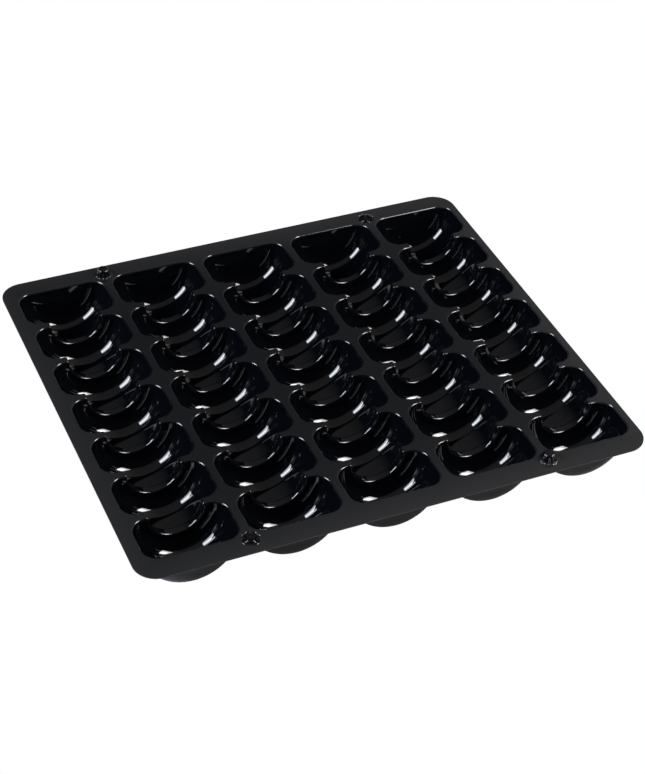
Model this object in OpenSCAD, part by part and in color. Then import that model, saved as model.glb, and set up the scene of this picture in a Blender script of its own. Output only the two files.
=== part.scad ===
// Thermoformed display tray for a grid of discs that stand on edge.
// Everything here is one formed sheet. It is drawn as the regions of that sheet, which meet
// face to face: the flat deck, the bowls of each column, the saddles that join the bowls,
// and four fluted locating studs. +X runs along a row, +Y from front to back, and z = 0 is
// the surface that the bowls stand on, under the middle of the deck.

/* [Grid] */
// Pockets side by side in a row
columns = 5; // [3:1:6]
// Pockets front to back in a column
rows = 7; // [2:1:8]
// Flat web between the openings of two columns
web = 3.5; // [1:0.1:12]

/* [Deck] */
// Flat deck left of the first column's openings
margin_left = 8.1; // [3:0.1:40]
// Flat deck right of the last column's openings
margin_right = 3.3; // [3:0.1:40]
// Flat deck in front of the first row's openings
margin_front = 14.8; // [10:0.1:40]
// Flat deck behind the last row's openings
margin_back = 12.3; // [10:0.1:40]
// Radius of the deck's corners in plan
deck_corner_r = 15; // [4:0.5:20]

/* [Sheet] */
// Thickness of the formed sheet
sheet = 0.8; // [0.5:0.05:1.2]
// Radius of every rounded-over edge, on the upper surface
lip_r = 1.4; // [1.3:0.1:3]

/* [Pocket] */
// Inner radius of the half-round floor
pocket_r = 29.9; // [26:0.1:45]
// Length between the end walls
pocket_len = 33.4; // [24:0.1:60]
// Inner radius between floor and end wall
floor_fillet = 9.6; // [2:0.2:11]

/* [Saddle] */
// Inner radius of the half-round saddle between two pockets
saddle_r = 17.1; // [14:0.1:18]
// Flat width of a saddle, along the column
saddle_w = 3.25; // [1:0.1:10]

/* [Studs] */
// Diameter across the flutes of a raised stud, at the deck
stud_d = 12.2; // [10:0.1:13]
// Diameter across the flutes at the stud's end
stud_tip_d = 8.2; // [6:0.1:8.4]
// Height of a stud above the deck
stud_h = 4.2; // [2:0.1:6]
// Flutes round a stud
stud_lobes = 8; // [5:1:10]
// Radius of one flute
lobe_r = 1.9; // [1.6:0.1:2.2]
// Flat ring round the foot of a stud, before the deck starts
stud_ring = 0.3; // [0.2:0.05:0.6]
// Flat deck left between a stud's ring and the nearest openings
stud_gap = 1.4; // [0.2:0.1:3]
// Free play round a stud inside a mating recess
stud_play = 0.15; // [0.05:0.05:0.2]

/* [Hidden] */
$fn = 96;

// Half the size of an opening, at the deck's surface
half_len = pocket_len / 2;
opening_x = pocket_r + lip_r;
opening_y = half_len + lip_r;

// Centres of the two bends in a bowl's section, as (radius, length): the rolled edge between
// end wall and saddle, and the fillet between floor and end wall, which leaves that edge free
notch_c = [saddle_r + lip_r, opening_y];
fillet_r = min(floor_fillet, pocket_r - notch_c.x - sheet, half_len - sheet);
fillet_c = [pocket_r - fillet_r, half_len - fillet_r];

column_pitch = 2 * opening_x + web;
row_pitch = 2 * opening_y + saddle_w;
tray_w = margin_left + (columns - 1) * column_pitch + 2 * opening_x + margin_right;
tray_d = margin_front + (rows - 1) * row_pitch + 2 * opening_y + margin_back;
tray_h = sheet + pocket_r + lip_r;
// Height of every column's axis, which all the bowls and saddles are turned about
axis_z = tray_h - lip_r;

function column_x(c) = margin_left + opening_x + (c - 1) * column_pitch - tray_w / 2;
function row_y(r) = margin_front + opening_y + (r - 1) * row_pitch - tray_d / 2;
function pockets_name(c) = str("pockets_c", c);
function saddles_name(c) = str("saddles_c", c);

// Studs stand on the first and the last web, in the corner between two openings. A raised
// one faces a recessed one when a second tray is turned over, front to back, on this one.
ring_r = stud_d / 2 + stud_ring;
corner_r = fillet_r + lip_r;
corner_dx = web / 2 + corner_r;
stud_reach = ring_r + stud_gap + corner_r;
stud_offset = sqrt(stud_reach ^ 2 - corner_dx ^ 2) - corner_r;
web_x_first = column_x(1) + column_pitch / 2;
web_x_last = column_x(columns) - column_pitch / 2;
stud_y_front = row_y(1) - opening_y - stud_offset;
stud_y_back = row_y(rows) + opening_y + stud_offset;
// Angle at which a stud's flutes lean towards its middle
stud_lean = atan((stud_d - stud_tip_d) / 2 / stud_h);

// ---- Flat profiles ----------------------------------------------------------------

// Wedge from the origin that holds everything of radius r between two angles
module sector(r, from, to) {
    mid = (from + to) / 2;
    polygon([
        [0, 0],
        2 * r * [cos(from), sin(from)],
        2 * r * [cos(mid), sin(mid)],
        2 * r * [cos(to), sin(to)]
    ]);
}

// Sheet bent to an arc: its thin side has radius r, between two angles
module bend(r, from, to) {
    intersection() {
        difference() {
            circle(r + sheet);
            circle(r);
        }
        sector(r + sheet, from, to);
    }
}

// Sheet that rolls over from a wall at x = -lip_r to the deck at y = lip_r
module roll() {
    bend(lip_r - sheet, 90, 180);
}

// Half of a bowl's section, from its middle to the back end, as (radius, length)
module bowl_half(full) {
    wall_start = full ? 0 : notch_c.x;
    translate([pocket_r, 0])
        square([sheet, fillet_c.y]);
    translate(fillet_c)
        bend(fillet_r, 0, 90);
    translate([wall_start, half_len])
        square([fillet_c.x - wall_start, sheet]);
    if (!full)
        translate(notch_c)
            bend(lip_r - sheet, 180, 270);
}

// Hole in the deck over one pocket
module opening() {
    square([2 * opening_x, 2 * fillet_c.y], center = true);
    square([2 * fillet_c.x, 2 * opening_y], center = true);
    for (x = [-1, 1], y = [-1, 1])
        translate([x * fillet_c.x, y * fillet_c.y])
            circle(corner_r);
}

// ---- Rolled-over edges, from the columns' axis up to the deck -----------------------

// Straight edge of length l along +Y, with the wall on its -X side
module straight_roll(l) {
    translate([0, l, 0])
        rotate([90, 0, 0])
            linear_extrude(l)
                roll();
}

// Half of the edge round a pocket's back end: the side, the corner and half of the end.
// An open end stops at the saddle, where a rounded tip closes the edge.
module edge_quarter(full) {
    end_x = full ? 0 : notch_c.x;
    translate([opening_x, 0, 0])
        straight_roll(fillet_c.y);
    translate(fillet_c)
        rotate_extrude(angle = 90)
            translate([corner_r, 0])
                roll();
    translate([fillet_c.x, opening_y])
        rotate(90)
            straight_roll(fillet_c.x - end_x);
    if (!full)
        translate(notch_c)
            rotate(180)
                rotate_extrude(angle = 90)
                    mirror([1, 0])
                        roll();
}

// ---- Regions of the sheet -----------------------------------------------------------

module deck_outline() {
    for (x = [-1, 1], y = [-1, 1])
        translate([x * (tray_w / 2 - deck_corner_r), y * (tray_d / 2 - deck_corner_r)])
            circle(deck_corner_r);
    square([tray_w, tray_d - 2 * deck_corner_r], center = true);
    square([tray_w - 2 * deck_corner_r, tray_d], center = true);
}

module deck() {
    color("#1f1f22")
        translate([0, 0, tray_h - sheet])
            linear_extrude(sheet)
                difference() {
                    deck_outline();
                    for (c = [1 : columns], r = [1 : rows])
                        translate([column_x(c), row_y(r)])
                            opening();
                    for (c = [1 : columns])
                        translate([column_x(c) - notch_c.x, row_y(1)])
                            square([2 * notch_c.x, (rows - 1) * row_pitch]);
                    for (x = [web_x_first, web_x_last], y = [stud_y_front, stud_y_back])
                        translate([x, y])
                            circle(ring_r);
                }
}

// One pocket: a half-round bowl turned about the column's axis, with its rolled edge
module pocket(front_full, back_full) {
    rotate([-90, 0, 0])
        rotate_extrude(angle = 180) {
            bowl_half(back_full);
            mirror([0, 1])
                bowl_half(front_full);
        }
    for (x = [0, 1]) mirror([x, 0, 0]) {
        edge_quarter(back_full);
        mirror([0, 1, 0])
            edge_quarter(front_full);
    }
}

// The pockets of one column, each a shell of its own
module pockets(c) {
    color("#17171a")
        for (r = [1 : rows])
            translate([column_x(c), row_y(r), axis_z])
                pocket(r == 1, r == rows);
}

// The half-round strips that join the pockets of one column
module saddles(c) {
    color("#2a2a2e")
        for (r = [1 : rows - 1])
            translate([column_x(c), row_y(r) + notch_c.y, axis_z]) {
                rotate([-90, 0, 0])
                    rotate_extrude(angle = 180)
                        translate([saddle_r, 0])
                            square([sheet, saddle_w]);
                for (x = [0, 1]) mirror([x, 0, 0])
                    translate([notch_c.x, 0, 0])
                        straight_roll(saddle_w);
            }
}

// Fluted cone from z = 0 up to h, as wide as a stud when grow is 0. Its flutes are round
// bars that lean towards the middle.
module fluted_cone(h, grow) {
    core_r = stud_d / 2 - lobe_r + grow;
    intersection() {
        union() {
            cylinder(h = h, r1 = core_r, r2 = core_r - h * tan(stud_lean));
            for (i = [0 : stud_lobes - 1])
                rotate(i * 360 / stud_lobes)
                    translate([stud_d / 2 - lobe_r / cos(stud_lean), 0, 0])
                        rotate([0, -stud_lean, 0])
                            cylinder(h = 3 * h, r = lobe_r + grow, center = true);
        }
        cylinder(h = h, r = ring_r);
    }
}

// Raised stud on the deck's surface at z = 0, hollow from below
module stud() {
    difference() {
        union() {
            translate([0, 0, -sheet])
                cylinder(h = sheet, r = ring_r);
            fluted_cone(stud_h, 0);
        }
        translate([0, 0, -sheet])
            fluted_cone(stud_h, -sheet / 2);
    }
}

// Recess that takes a raised stud of another tray
module recess() {
    mirror([0, 0, 1])
        difference() {
            union() {
                cylinder(h = sheet, r = ring_r);
                translate([0, 0, sheet])
                    fluted_cone(stud_h + stud_play, stud_play + sheet / 2);
            }
            fluted_cone(stud_h + stud_play, stud_play);
        }
}

module stud_back_left() {
    color("#242428")
        translate([web_x_first, stud_y_back, tray_h])
            stud();
}

module stud_front_right() {
    color("#242428")
        translate([web_x_last, stud_y_front, tray_h])
            stud();
}

module recess_back_right() {
    color("#242428")
        translate([web_x_last, stud_y_back, tray_h])
            recess();
}

module recess_front_left() {
    color("#242428")
        translate([web_x_first, stud_y_front, tray_h])
            recess();
}

deck();
for (c = [1 : columns])
    pockets(c);
for (c = [1 : columns])
    saddles(c);
stud_back_left();
stud_front_right();
recess_back_right();
recess_front_left();
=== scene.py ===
# %% [markdown]
# # A vacuum-formed display tray
# The tray is one sheet of glossy black plastic, drawn down over a mould: a flat deck, 35
# half-round pockets, the saddles that join the pockets of a column, and four fluted studs.
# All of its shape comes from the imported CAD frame. This script gives it its finish, a studio
# to stand in and a camera.

# %% Load the frame
import math

import bmesh
import bpy
from mathutils import Matrix, Vector


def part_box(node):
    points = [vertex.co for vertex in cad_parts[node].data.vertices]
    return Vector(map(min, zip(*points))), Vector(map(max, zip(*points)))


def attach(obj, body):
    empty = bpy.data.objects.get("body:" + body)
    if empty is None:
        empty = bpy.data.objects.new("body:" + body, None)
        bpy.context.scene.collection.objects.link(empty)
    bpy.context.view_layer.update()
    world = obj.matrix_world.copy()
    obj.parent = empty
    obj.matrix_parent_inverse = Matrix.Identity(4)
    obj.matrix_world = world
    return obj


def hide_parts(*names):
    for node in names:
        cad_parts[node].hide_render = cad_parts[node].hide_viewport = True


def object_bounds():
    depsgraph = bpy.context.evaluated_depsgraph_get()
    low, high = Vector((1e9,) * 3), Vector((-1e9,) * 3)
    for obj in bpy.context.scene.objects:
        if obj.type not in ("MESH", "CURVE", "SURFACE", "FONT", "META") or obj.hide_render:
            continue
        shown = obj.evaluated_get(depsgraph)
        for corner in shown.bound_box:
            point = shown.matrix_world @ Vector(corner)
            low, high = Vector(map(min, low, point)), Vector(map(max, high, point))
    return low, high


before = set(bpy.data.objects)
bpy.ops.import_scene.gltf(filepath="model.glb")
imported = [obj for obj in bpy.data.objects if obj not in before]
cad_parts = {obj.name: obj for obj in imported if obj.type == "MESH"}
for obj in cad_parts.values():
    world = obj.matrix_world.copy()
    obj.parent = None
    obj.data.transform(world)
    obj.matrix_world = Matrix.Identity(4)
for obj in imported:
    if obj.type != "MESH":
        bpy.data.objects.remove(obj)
cad_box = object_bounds()
print("regions of the sheet:", len(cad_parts))


# %% [markdown]
# ## Small helpers
# Colours are written as sRGB hex values, as a paint card gives them, and turned to the linear
# values that the renderer adds up. One function adds a shader node, sets its values and makes
# its links, so that each material below reads as a short list. A second one adds a row of
# arithmetic in the same way.

# %% Helpers
def linear(hex_colour):
    """sRGB hex such as '#1a1a1e' to the linear RGBA that a shader wants."""
    values = [int(hex_colour[i:i + 2], 16) / 255 for i in (1, 3, 5)]
    curve = [v / 12.92 if v <= 0.04045 else ((v + 0.055) / 1.055) ** 2.4 for v in values]
    return (*curve, 1.0)


def add(tree, kind, links=None, **settings):
    """Adds a node. A setting is a property or an input; links maps inputs to outputs."""
    node = tree.nodes.new(kind)
    for name, value in settings.items():
        if hasattr(node, name):
            setattr(node, name, value)
        else:
            node.inputs[name.replace("_", " ")].default_value = value
    for name, source in (links or {}).items():
        tree.links.new(source, node.inputs[name])
    return node


def sums(tree, operation, *terms):
    """One Math node over numbers and other nodes' outputs; returns its output."""
    node = add(tree, "ShaderNodeMath", operation=operation)
    for socket, term in zip(node.inputs, terms):
        if isinstance(term, (int, float)):
            socket.default_value = term
        else:
            tree.links.new(term, socket)
    return node.outputs[0]


def ramp(tree, value, low, high, low_gives=0.0, high_gives=1.0):
    """A straight ramp between two values, level beyond them; returns its output."""
    node = add(tree, "ShaderNodeMapRange", {"Value": value})
    for socket, number in zip(node.inputs[1:5], (low, high, low_gives, high_gives)):
        socket.default_value = number
    return node.outputs["Result"]


MM = 0.001

# %% [markdown]
# ## The plastic
# High-impact polystyrene, dyed black right through and vacuum formed. Its upper side never
# touches the mould, so it keeps the roller's gloss, but the stretched sheet is never quite
# flat: reflections wander a little. That is a coat of slow waves in the normal, about 9 mm
# long, with a much finer orange peel on top. The dyed sheet leaves almost no diffuse colour,
# and away from the margin all that the eye sees is what the surface mirrors.
#
# Towards the outer margin the colour is painted lighter: a painted sheen that fades over the
# first centimetres towards the middle and is a little stronger on the right. It lies only at
# the height of the deck's top, so the pockets and the studs have almost none.

# %% Vacuum-formed polystyrene
WAVE_LENGTH = 9 * MM
PEEL_LENGTH = 0.7 * MM
# The painted sheen near the deck's outline: its reach inwards, its strength at the left and the
# right, and the height band at the deck's top.
PAINTED_SHEEN_WIDTH = 25 * MM
PAINTED_SHEEN_LEFT, PAINTED_SHEEN_RIGHT = 0.7, 1.3
PAINTED_SHEEN_DEPTH = 1.1 * MM
HALF_SIZE = [0.5 * (cad_box[1][i] - cad_box[0][i]) for i in (0, 1)]
DECK_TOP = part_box("deck")[1].z


def painted_edge_sheen(tree):
    """Painted sheen: 1 at the deck's outline, fading inwards, and a little stronger on the
    right.
    """
    place = add(tree, "ShaderNodeSeparateXYZ",
                {"Vector": add(tree, "ShaderNodeNewGeometry").outputs["Position"]})
    nearest = sums(tree, "MAXIMUM", *(
        sums(tree, "SUBTRACT", sums(tree, "ABSOLUTE", place.outputs[i]), HALF_SIZE[i])
        for i in (0, 1)))
    painted_sheen = sums(tree, "EXPONENT", sums(tree, "DIVIDE", nearest, PAINTED_SHEEN_WIDTH))
    painted_sheen = sums(tree, "MULTIPLY", painted_sheen,
                ramp(tree, place.outputs[0], -HALF_SIZE[0], HALF_SIZE[0], PAINTED_SHEEN_LEFT, PAINTED_SHEEN_RIGHT))
    return sums(tree, "MULTIPLY", painted_sheen,
                sums(tree, "COMPARE", place.outputs[2], DECK_TOP, PAINTED_SHEEN_DEPTH))


def formed_polystyrene():
    material = bpy.data.materials.new("vacuum_formed_gloss_polystyrene")
    material.use_nodes = True
    tree = material.node_tree
    tree.nodes.clear()
    where = add(tree, "ShaderNodeTexCoord").outputs["Object"]
    waves = add(tree, "ShaderNodeTexNoise", {"Vector": where},
                Scale=1 / WAVE_LENGTH, Detail=1.0, Roughness=0.4)
    peel = add(tree, "ShaderNodeTexNoise", {"Vector": where},
               Scale=1 / PEEL_LENGTH, Detail=2.0, Roughness=0.5)
    wavy = add(tree, "ShaderNodeBump", {"Height": waves.outputs["Fac"]},
               Strength=0.25, Distance=0.03 * MM)
    peeled = add(tree, "ShaderNodeBump",
                 {"Height": peel.outputs["Fac"], "Normal": wavy.outputs["Normal"]},
                 Strength=0.05, Distance=0.004 * MM)
    # The black dye, mixed towards a lighter grey near the margin as painted sheen.
    dye_and_painted_sheen = add(tree, "ShaderNodeMix", {"Factor": painted_edge_sheen(tree)}, data_type="RGBA")
    for socket, colour in ((6, "#05060a"), (7, "#212122")):  # the colour inputs A and B
        dye_and_painted_sheen.inputs[socket].default_value = linear(colour)
    shader = add(tree, "ShaderNodeBsdfPrincipled",
                 {"Base Color": dye_and_painted_sheen.outputs[2], "Normal": peeled.outputs["Normal"]},
                 Roughness=0.05, IOR=1.55)
    add(tree, "ShaderNodeOutputMaterial", {"Surface": shader.outputs["BSDF"]})
    return material


plastic = formed_polystyrene()
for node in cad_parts.values():
    for slot in node.material_slots:
        slot.material = plastic
print("material:", plastic.name)

# %% [markdown]
# ## The four locating studs
# The deck carries two raised and two recessed studs, so that a second tray can be turned over
# and clipped on. Each is a fluted cone: eight round flutes that lean towards the middle, with a
# soft radius at the foot and at the top, as sheet takes when it is drawn over a small mould.
# They could be built from cones and bevels, but a bevel fails in the narrow grooves. So one
# surface describes them all, as rings of points from the rim to the middle, and a recess is
# the same surface pushed down, a little wider for play.

# %% Studs
FLUTES = 8
FLUTE_R = 1.9 * MM
GROOVE = 0.985  # a little below 1, it keeps the bottom of each groove round
STEPS = 12 * FLUTES
RIM_R = 6.4 * MM
SHEET = 0.8 * MM
PLAY = 0.15 * MM
STUD_HEIGHT = 5.2 * MM
# One face of the sheet: its outermost radius at the foot and at the top, and the rounding
# at both. Every stud shows the first one. The other two are hidden behind it.
SHOWN = (5.85 * MM, 3.5 * MM, 0.45 * MM, 0.7 * MM)
HOLLOW = (5.20 * MM, 2.9 * MM, 0.30 * MM, 0.4 * MM)
JACKET = (5.95 * MM, 4.1 * MM, 0.15 * MM, 1.0 * MM)


def fluted_radius(angle, crest):
    """Distance from the axis to a ring of round flutes whose outermost points are at crest."""
    reach = crest - FLUTE_R
    lean = math.acos(GROOVE * math.cos(FLUTES * angle)) / FLUTES
    return reach * math.cos(lean) + math.sqrt(FLUTE_R ** 2 - (reach * math.sin(lean)) ** 2)


def stud_rings(face, growth):
    """(height, list of radii) from the rim to the top's edge."""
    foot, top, foot_round, top_round = face
    levels = [foot_round * (1 - math.cos(i * math.pi / 10)) for i in range(6)]
    wall = STUD_HEIGHT - foot_round - top_round
    levels += [foot_round + wall * i / 6 for i in range(1, 6)]
    levels += [STUD_HEIGHT - top_round * (1 - math.sin(i * math.pi / 12)) for i in range(7)]
    rings = [(0.0, [RIM_R] * STEPS)]
    for level in levels:
        crest = foot + growth + (top - foot) * level / STUD_HEIGHT
        flare = max(0.0, foot_round - level)
        flare = foot_round - math.sqrt(foot_round ** 2 - flare ** 2)
        drop = max(0.0, level - STUD_HEIGHT + top_round)
        drop = top_round - math.sqrt(max(0.0, top_round ** 2 - drop ** 2))
        rings.append((level, [fluted_radius(2 * math.pi * k / STEPS, crest) + flare - drop
                              for k in range(STEPS)]))
    return rings


def stud(node, direction, growth):
    """A closed shell: the surface that shows and, a sheet's thickness away, its other side."""
    low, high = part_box(node)
    centre = 0.5 * (low + high)
    shows = stud_rings(SHOWN, growth)
    other = stud_rings(HOLLOW if direction > 0 else JACKET, growth)
    points, faces = [], []
    for rings, sink in ((shows, 0.0), (other, SHEET)):
        for level, radii in rings:
            for k, radius in enumerate(radii):
                angle = 2 * math.pi * k / STEPS
                points.append((centre.x + radius * math.cos(angle),
                               centre.y + radius * math.sin(angle),
                               DECK_TOP - sink + direction * level))
    count = len(shows)
    for side in (0, count):
        for i in range(side, side + count - 1):
            for k in range(STEPS):
                n = (k + 1) % STEPS
                faces.append((i * STEPS + k, i * STEPS + n,
                              (i + 1) * STEPS + n, (i + 1) * STEPS + k))
        last = (side + count - 1) * STEPS
        points.append((centre.x, centre.y, points[last][2]))
        faces += [(last + k, last + (k + 1) % STEPS, len(points) - 1) for k in range(STEPS)]
    for k in range(STEPS):
        n = (k + 1) % STEPS
        faces.append((k, n, count * STEPS + n, count * STEPS + k))
    mesh = bpy.data.meshes.new(node + "_formed")
    mesh.from_pydata(points, [], faces)
    shell = bmesh.new()
    shell.from_mesh(mesh)
    bmesh.ops.recalc_face_normals(shell, faces=shell.faces)
    shell.to_mesh(mesh)
    shell.free()
    mesh.shade_smooth()
    mesh.materials.append(plastic)
    piece = bpy.data.objects.new(node + "_formed", mesh)
    bpy.context.scene.collection.objects.link(piece)
    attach(piece, "root")
    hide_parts(node)
    print(piece.name, len(mesh.polygons), "faces")


for name in ("stud_back_left", "stud_front_right"):
    stud(name, 1, 0.0)
for name in ("recess_back_right", "recess_front_left"):
    stud(name, -1, PLAY)

# %% [markdown]
# ## The floor
# Plain white paper, so wide that its edge is never seen. A lit sheet would come out a little
# grey and uneven, so the material shows the camera a glow of exactly white instead. So do
# reflections and refractions beyond the tray. Close to the tray, and for all light that the
# floor scatters, it is paper, and the tray's shadow lies on it there.

# %% Floor
FLOOR_HALF = 6.0
SHADE_RADIUS = 0.45
WHITE = (1, 1, 1, 1)


def floor_material():
    material = bpy.data.materials.new("white_paper_floor")
    material.use_nodes = True
    tree = material.node_tree
    tree.nodes.clear()
    path = add(tree, "ShaderNodeLightPath")
    place = add(tree, "ShaderNodeNewGeometry").outputs["Position"]
    away = add(tree, "ShaderNodeVectorMath", {0: place}, operation="LENGTH")
    mirrored = sums(tree, "MAXIMUM", path.outputs["Is Glossy Ray"],
                    path.outputs["Is Transmission Ray"])
    mirrored = sums(tree, "MULTIPLY", mirrored,
                    sums(tree, "GREATER_THAN", away.outputs["Value"], SHADE_RADIUS))
    seen = sums(tree, "MAXIMUM", path.outputs["Is Camera Ray"], mirrored)
    paper = add(tree, "ShaderNodeBsdfDiffuse", Color=linear("#b4b4b8"))
    white = add(tree, "ShaderNodeEmission", Color=WHITE, Strength=1.0)
    mix = add(tree, "ShaderNodeMixShader", {0: seen, 1: paper.outputs[0], 2: white.outputs[0]})
    add(tree, "ShaderNodeOutputMaterial", {"Surface": mix.outputs[0]})
    return material


def floor():
    mesh = bpy.data.meshes.new("floor")
    corners = [(x * FLOOR_HALF, y * FLOOR_HALF, 0) for x, y in
               ((-1, -1), (1, -1), (1, 1), (-1, 1))]
    mesh.from_pydata(corners, [], [(0, 1, 2, 3)])
    mesh.materials.append(floor_material())
    plane = bpy.data.objects.new("floor", mesh)
    bpy.context.scene.collection.objects.link(plane)
    print("floor:", 2 * FLOOR_HALF, "m wide")


floor()

# %% [markdown]
# ## The room
# Black gloss shows its surroundings and little else. So the room is drawn as the plastic
# mirrors it: dark in front, where the camera stands, with a dim grey ceiling and a lighter
# wall on the right. The ceiling ends in a straight edge, with nothing behind it at the back
# left. Real walls would do it too, but a few sums on the ray's direction are lighter and stay
# the same all round. To the camera itself the room is plain white.

# %% World
CEILING_GREY = 0.17
CEILING_STARTS, CEILING_FULL = 0.47, 0.777  # heights of a ray of length 1
WALL_GREY = 0.4
FRONT_DARK, FRONT_LIT = -0.55, -0.35  # how far a ray points away from the front
EDGE_X, EDGE_Y = 0.150, 0.824  # the ceiling's edge lies at z = 0.150 x + 0.824 y ...
EDGE_SIDE = 0.14  # ... to the left of x = 0.14 y
ROOM_GREY = 0.01


def room():
    world = bpy.data.worlds.new("dim_studio")
    bpy.context.scene.world = world
    world.use_nodes = True
    tree = world.node_tree
    tree.nodes.clear()
    ray = add(tree, "ShaderNodeTexCoord").outputs["Generated"]
    x, y, z = add(tree, "ShaderNodeSeparateXYZ", {"Vector": ray}).outputs
    ceiling = ramp(tree, z, CEILING_STARTS, CEILING_FULL, 0.0, CEILING_GREY)
    wall = ramp(tree, x, 0.0, 1.0)
    wall = sums(tree, "MULTIPLY", sums(tree, "MULTIPLY", wall, wall), WALL_GREY)
    in_front = ramp(tree, y, FRONT_DARK, FRONT_LIT)
    grey = sums(tree, "MULTIPLY", sums(tree, "ADD", ceiling, wall), in_front)
    edge = sums(tree, "MULTIPLY_ADD", x, EDGE_X, sums(tree, "MULTIPLY", y, EDGE_Y))
    under_edge = ramp(tree, sums(tree, "SUBTRACT", z, edge), -0.01, 0.01, 1.0, 0.0)
    at_left = ramp(tree, sums(tree, "SUBTRACT", x, sums(tree, "MULTIPLY", y, EDGE_SIDE)),
                   -0.02, 0.02, 1.0, 0.0)
    gap = sums(tree, "SUBTRACT", 1.0, sums(tree, "MULTIPLY", under_edge, at_left))
    grey = sums(tree, "MULTIPLY_ADD", grey, gap, ROOM_GREY)
    is_camera = add(tree, "ShaderNodeLightPath").outputs["Is Camera Ray"]
    level = sums(tree, "MAXIMUM", grey, is_camera)
    back = add(tree, "ShaderNodeBackground", {"Strength": level}, Color=WHITE)
    add(tree, "ShaderNodeOutputWorld", {"Surface": back.outputs[0]})
    print("room:", len(tree.nodes), "nodes")


room()

# %% [markdown]
# ## The lamps
# Two large soft boxes stand at the left and at the front right and give the bright marks in
# every pocket. Each is made of three faces: one lights matt surfaces, and paper comes out at
# a level near 1. The other two, a broad face and a brighter core, show only in gloss. The flat
# deck would mirror them whole from the side and turn white, so light linking leaves it out,
# as a studio would shade it with a black card.

# %% Leave the deck out
shaded = bpy.data.collections.new("shaded_from_the_softboxes")
shaded.objects.link(bpy.data.objects["deck"])
shaded.collection_objects[0].light_linking.link_state = "EXCLUDE"

# %% [markdown]
# A softbox is placed by its middle, by the compass direction that it faces (0 is +Y, 90 is
# +X), by its size and by its radiance. Watts follow from the radiance, so that a face can
# change its size and look just as bright.

# %% Lamps
FILL_RADIANCE = 14.0
FACE_STEP = 0.01


def card(name, middle, heading, size, radiance, colour, gloss):
    """One lit rectangle, for gloss alone or for matt surfaces alone; returns where it faces."""
    lamp = bpy.data.lights.new(name, "AREA")
    lamp.shape = "RECTANGLE"
    lamp.size, lamp.size_y = size
    lamp.energy = radiance * math.pi * size[0] * size[1]
    lamp.color = linear(colour)[:3]
    panel = bpy.data.objects.new(name, lamp)
    panel.location = middle
    away = Vector((-math.sin(math.radians(heading)), -math.cos(math.radians(heading)), 0.0))
    panel.rotation_euler = away.to_track_quat("Z", "Y").to_euler()
    panel.visible_camera = False
    panel.visible_glossy = gloss
    panel.visible_diffuse = not gloss
    if gloss:
        panel.light_linking.receiver_collection = shaded
    bpy.context.scene.collection.objects.link(panel)
    return -away


def softbox(name, middle, heading, size, core_size, radiance, core_radiance, colour):
    facing = card(name, middle, heading, size, FILL_RADIANCE, colour, False)
    faces = (("face", size, radiance), ("core", core_size, core_radiance))
    for i, (part, face, level) in enumerate(faces, 1):
        card(name + "_" + part, Vector(middle) + i * FACE_STEP * facing, heading, face, level,
             colour, True)


softbox("left_softbox", (-1.234, 0.118, 0.92), 90.0, (0.85, 1.10), (0.25, 1.10), 10.0, 14.0,
        "#eef3fc")
softbox("right_softbox", (0.779, -0.510, 0.79), -27.4, (0.62, 0.74), (0.31, 0.36), 12.0, 18.0,
        "#fffffc")
print("lamps:", len(bpy.data.lights))

# %% [markdown]
# ## Camera
# A short telephoto lens, a little over a metre away, looks down from the front left. A camera
# can be aimed at a point, but then it stands upright. This one is rolled a little, so its own
# three axes are given instead, and they make up its rotation.

# %% Camera
FOCAL_LENGTH = 89.07  # mm, on a sensor 36 mm wide
CAMERA_AT = Vector((-0.4012, -0.8888, 0.8182))
RIGHT = Vector((0.91964623, -0.39107759, 0.03618195))
UP = Vector((0.22370918, 0.59732266, 0.77016871))
BACK = Vector((-0.32280802, -0.70018851, 0.63681318))


def camera():
    lens = bpy.data.cameras.new("camera")
    lens.lens = FOCAL_LENGTH
    lens.sensor_width = 36.0
    eye = bpy.data.objects.new("camera", lens)
    turn = Matrix((RIGHT, UP, BACK)).transposed().to_4x4()
    eye.matrix_world = Matrix.Translation(CAMERA_AT) @ turn
    bpy.context.scene.collection.objects.link(eye)
    bpy.context.scene.camera = eye
    print("camera:", round(CAMERA_AT.length, 2), "m from the tray")


camera()
bpy.context.scene.view_settings.view_transform = "Standard"
